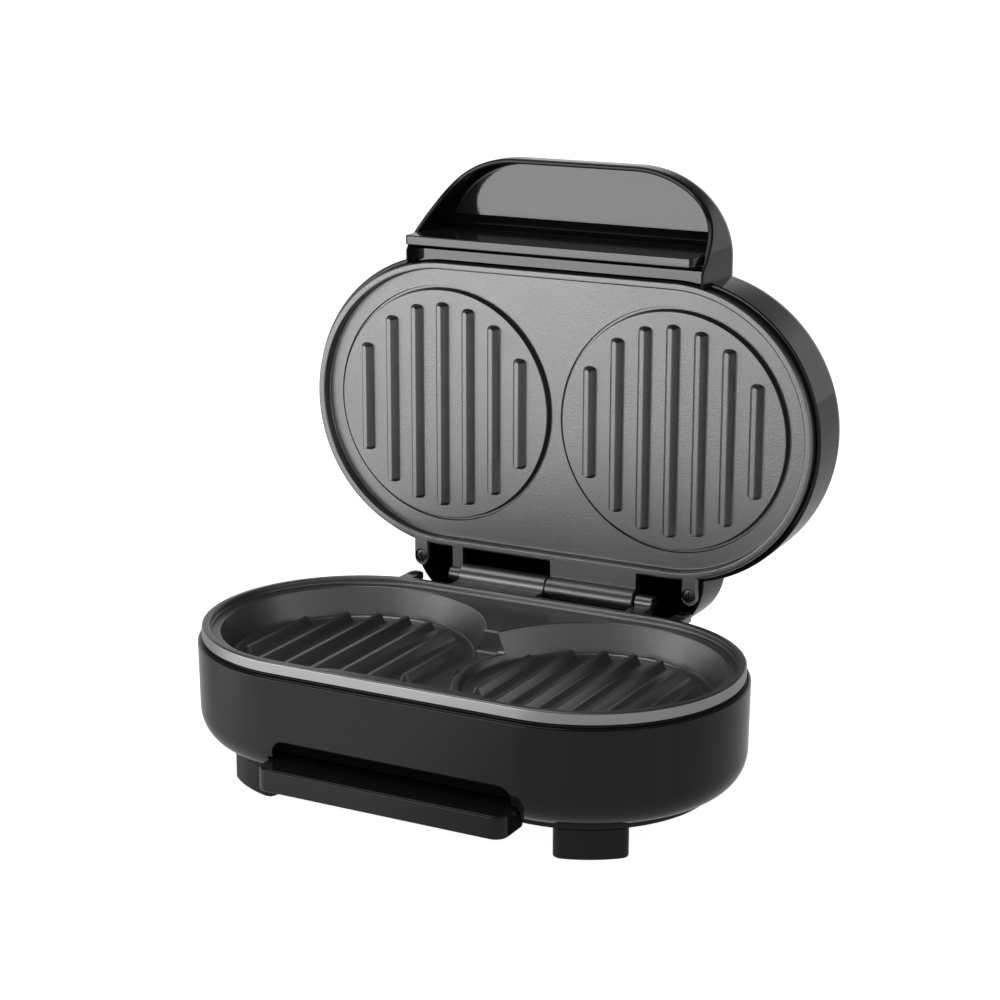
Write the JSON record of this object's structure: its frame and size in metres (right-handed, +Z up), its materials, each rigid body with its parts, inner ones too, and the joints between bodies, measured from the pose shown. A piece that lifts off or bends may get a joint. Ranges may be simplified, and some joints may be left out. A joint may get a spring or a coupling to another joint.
{
  "type": "burger maker",
  "caption": "Countertop burger maker with two ribbed round grill wells, a hinged lid with a hooded handle and a slide-out drip tray.",
  "frame": {"origin": "centre of the bounding box in plan, at the surface the feet stand on", "axes": "+Z up, -Y the front with the handle and drip tray, +X to the right seen from the front"},
  "size_m": [0.2588, 0.2026, 0.2682],
  "materials": {
    "gloss_black": "gloss",
    "satin_black": "satin",
    "nonstick_aluminium": "dark grey non-stick coating",
    "element_sheath": "dull",
    "bare_aluminium": "mill",
    "ceramic": "matt",
    "steel": "satin",
    "foot_rubber": "matt",
    "red_lens": "clear gloss",
    "green_lens": "clear gloss",
    "lamp_glass": "gloss"
  },
  "bodies": {
    "base": {"base_housing": "gloss_black", "bottom_cover": "satin_black", "lower_plate": "nonstick_aluminium", "lower_heating_element": "element_sheath", "lower_reflector": "bare_aluminium", "thermostat": "ceramic", "thermal_fuse": "bare_aluminium", "terminal_block": "ceramic", "cord_gland": "satin_black", "drain_tube": "bare_aluminium", "tray_channel": "satin_black", "hinge_pin": "steel", "lower_tab_screw_right": "steel", "lower_tab_screw_left": "steel", "cover_screw_right": "steel", "cover_screw_left": "steel", "foot_rear_right": "satin_black", "foot_pad_rear_right": "foot_rubber", "foot_screw_rear_right": "steel", "foot_rear_left": "satin_black", "foot_pad_rear_left": "foot_rubber", "foot_screw_rear_left": "steel", "foot_front_left": "satin_black", "foot_pad_front_left": "foot_rubber", "foot_screw_front_left": "steel", "foot_front_right": "satin_black", "foot_pad_front_right": "foot_rubber", "foot_screw_front_right": "steel"},
    "lid": {"lid_shell": "gloss_black", "handle_bar": "gloss_black", "upper_plate": "nonstick_aluminium", "upper_heating_element": "element_sheath", "upper_reflector": "bare_aluminium", "upper_tab_screw_right": "steel", "upper_tab_screw_left": "steel", "power_lens": "red_lens", "ready_lens": "green_lens", "power_lamp": "lamp_glass", "ready_lamp": "lamp_glass"},
    "tray": {"drip_tray": "gloss_black"}
  },
  "joints": [
    {"name": "lid_hinge", "type": "hinge", "parent": "base", "child": "lid", "pos_m": [0, 0.0611, 0.0708], "axis": [1, 0, 0], "range_deg": [0, 90]},
    {"name": "tray_slide", "type": "slide", "parent": "base", "child": "tray", "axis": [0, -1, 0], "range_m": [0, 0.06]}
  ]
}
